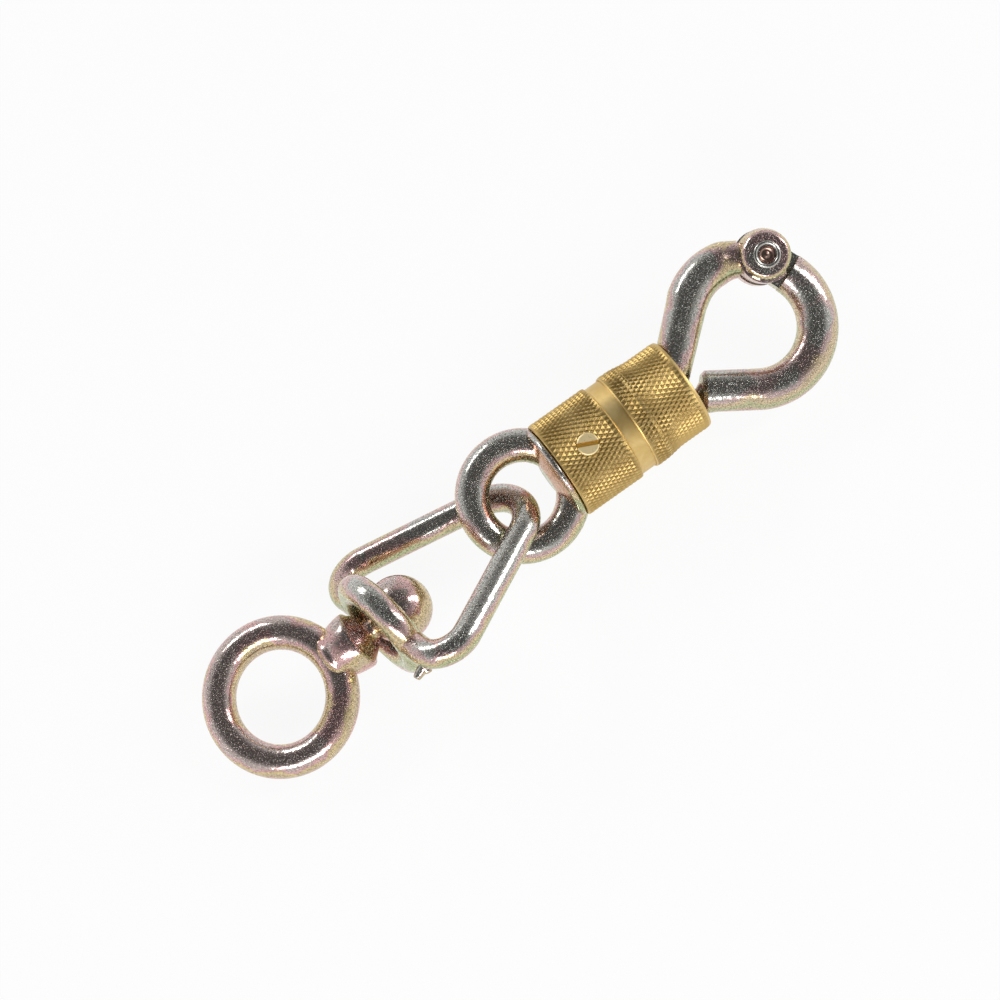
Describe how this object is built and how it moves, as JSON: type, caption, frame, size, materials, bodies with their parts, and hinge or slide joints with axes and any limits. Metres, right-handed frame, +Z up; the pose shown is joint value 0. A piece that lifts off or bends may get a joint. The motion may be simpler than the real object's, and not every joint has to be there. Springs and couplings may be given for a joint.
{
  "type": "swivel snap hook",
  "caption": "Forged swivel snap hook with a hinged jaw, a knurled brass locking sleeve, a triangular link and a ball-headed swivel eye, lying on its side.",
  "frame": {"origin": "bottom centre of the bounding box, on the table", "axes": "+X along the shank from the swivel eye to the hook, +Z up from the table, +Y toward the hinge side of the hook"},
  "size_m": [0.1852, 0.0516, 0.0304],
  "materials": {
    "plated_steel": "yellow-passivated zinc plating on forged steel, glossy and slightly pitted",
    "brass": "satin, diamond knurled",
    "spring_steel": "plain drawn wire"
  },
  "bodies": {
    "body": {"hook_body": "plated_steel", "fixed_collar": "brass", "collar_screw": "brass", "pivot_rivet": "plated_steel"},
    "jaw": {"hinged_jaw": "plated_steel"},
    "sleeve": {"locking_sleeve": "brass", "sleeve_spring": "spring_steel"},
    "bow": {"swivel_bow": "plated_steel"},
    "eye": {"swivel_eye": "plated_steel"}
  },
  "joints": [
    {"name": "jaw", "type": "hinge", "parent": "body", "child": "jaw", "pos_m": [0.08324, 0.01687, 0.01888], "axis": [0, -0.4172, 0.9088], "range_deg": [0, 80]},
    {"name": "sleeve", "type": "slide", "parent": "body", "child": "sleeve", "axis": [-1, 0, 0], "range_m": [0, 0.0038], "stiffness_N_per_m": 600, "springref_m": -0.003, "deforming": ["sleeve_spring"]},
    {"name": "bow", "type": "hinge", "parent": "body", "child": "bow", "pos_m": [0.00206, 0.00406, 0.013], "axis": [0, -0.4172, 0.9088], "range_deg": [-70, 70]},
    {"name": "eye", "type": "hinge", "parent": "bow", "child": "eye", "pos_m": [-0.03809, -0.00229, 0.01571], "axis": [0.9771, -0.0502, 0.2069], "continuous": true}
  ]
}
